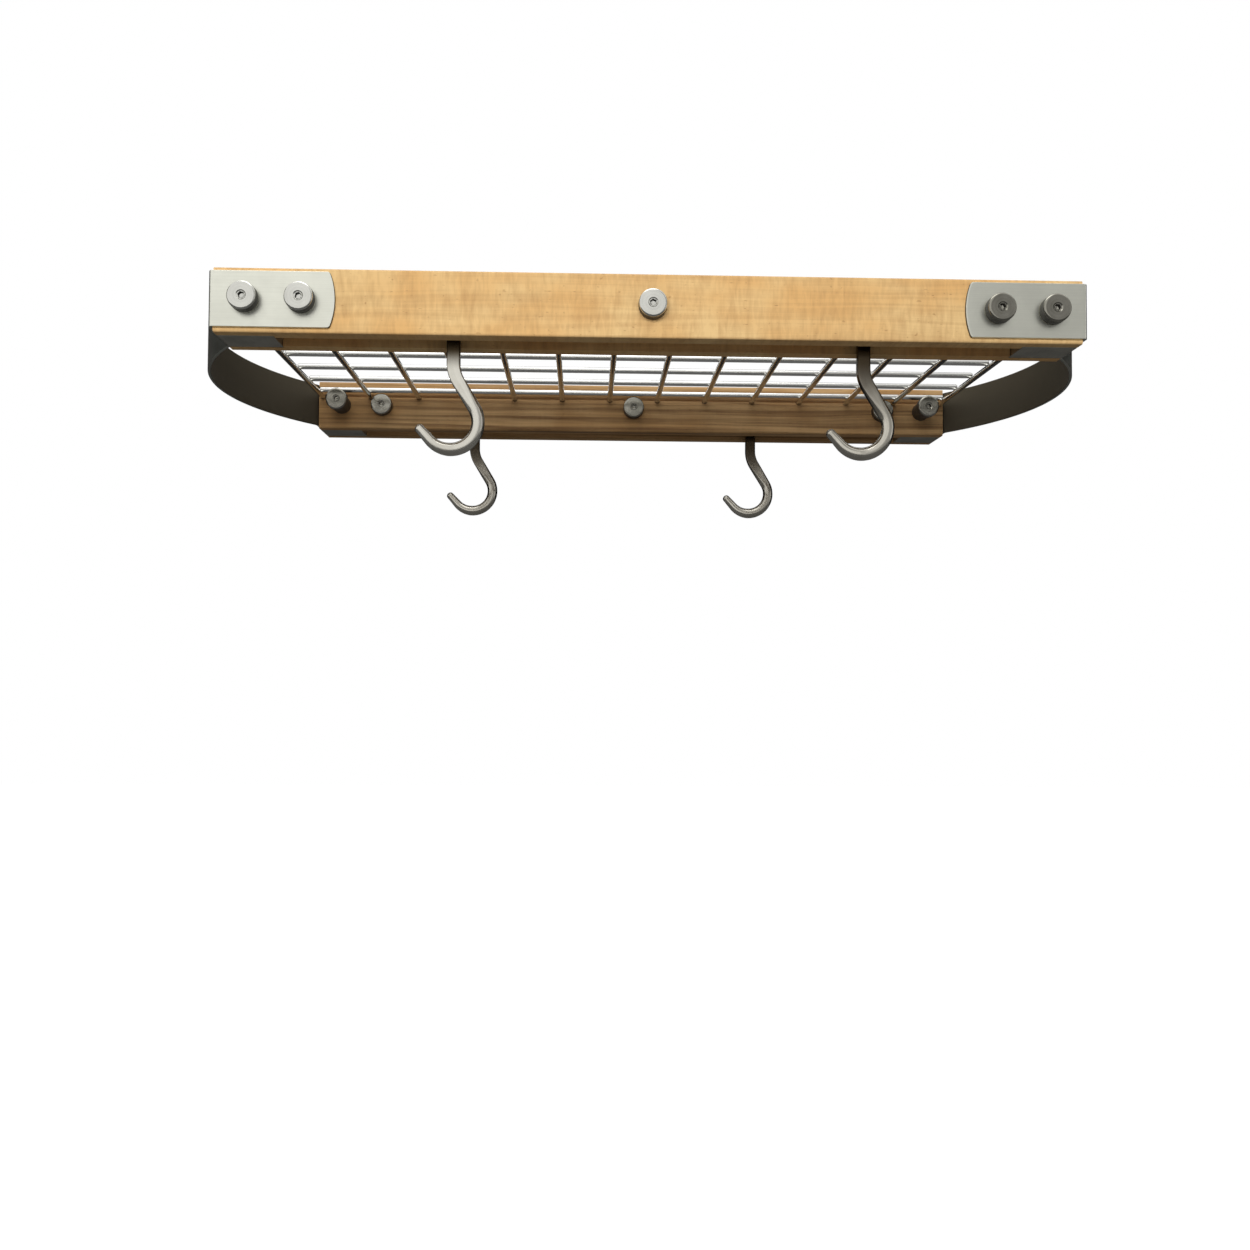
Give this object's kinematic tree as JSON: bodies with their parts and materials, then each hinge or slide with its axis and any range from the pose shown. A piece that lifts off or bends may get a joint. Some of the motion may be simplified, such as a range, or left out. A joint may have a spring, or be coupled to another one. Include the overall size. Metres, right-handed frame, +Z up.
{
  "type": "hanging pot rack",
  "caption": "Wall-hung pot rack: two slotted maple rails, bowed stainless side straps, a welded wire shelf grid and sliding J hooks.",
  "frame": {"origin": "on the wall plane, midway along the rails, level with the rails' undersides", "axes": "+X along the rails to the right seen from the front, +Y into the wall, +Z up"},
  "size_m": [0.7076, 0.4099, 0.1246],
  "materials": {
    "maple": "clear satin lacquer over straight maple grain",
    "strap_steel": "brushed along the strip",
    "block_metal": "machined satin",
    "wire_steel": "bright electropolished wire",
    "bolt_steel": "turned satin",
    "hook_steel": "satin, hand polished"
  },
  "bodies": {
    "rack": {"front_rail": "maple", "rear_rail": "maple", "left_side_strap": "strap_steel", "right_side_strap": "strap_steel", "front_left_end_block": "block_metal", "front_right_end_block": "block_metal", "rear_left_end_block": "block_metal", "rear_right_end_block": "block_metal", "wire_grid": "wire_steel", "front_bolt_left_outer": "bolt_steel", "front_insert_left_outer": "bolt_steel", "rear_bolt_left_outer": "bolt_steel", "rear_insert_left_outer": "bolt_steel", "front_bolt_left_inner": "bolt_steel", "front_insert_left_inner": "bolt_steel", "rear_bolt_left_inner": "bolt_steel", "rear_insert_left_inner": "bolt_steel", "front_bolt_middle": "bolt_steel", "front_insert_middle": "bolt_steel", "rear_bolt_middle": "bolt_steel", "rear_insert_middle": "bolt_steel", "front_bolt_right_inner": "bolt_steel", "front_insert_right_inner": "bolt_steel", "rear_bolt_right_inner": "bolt_steel", "rear_insert_right_inner": "bolt_steel", "front_bolt_right_outer": "bolt_steel", "front_insert_right_outer": "bolt_steel", "rear_bolt_right_outer": "bolt_steel", "rear_insert_right_outer": "bolt_steel", "rear_sleeve_left": "bolt_steel", "rear_sleeve_right": "bolt_steel"},
    "front_left_hook_body": {"front_left_hook": "hook_steel"},
    "front_right_hook_body": {"front_right_hook": "hook_steel"},
    "rear_left_hook_body": {"rear_left_hook": "hook_steel"},
    "rear_right_hook_body": {"rear_right_hook": "hook_steel"}
  },
  "joints": [
    {"name": "front_left_hook_slide", "type": "slide", "parent": "rack", "child": "front_left_hook_body", "axis": [1, 0, 0], "range_m": [-0.114, 0.113]},
    {"name": "front_right_hook_slide", "type": "slide", "parent": "rack", "child": "front_right_hook_body", "axis": [1, 0, 0], "range_m": [-0.126, 0.101]},
    {"name": "rear_left_hook_slide", "type": "slide", "parent": "rack", "child": "rear_left_hook_body", "axis": [1, 0, 0], "range_m": [-0.099, 0.128]},
    {"name": "rear_right_hook_slide", "type": "slide", "parent": "rack", "child": "rear_right_hook_body", "axis": [1, 0, 0], "range_m": [-0.09, 0.137]}
  ]
}
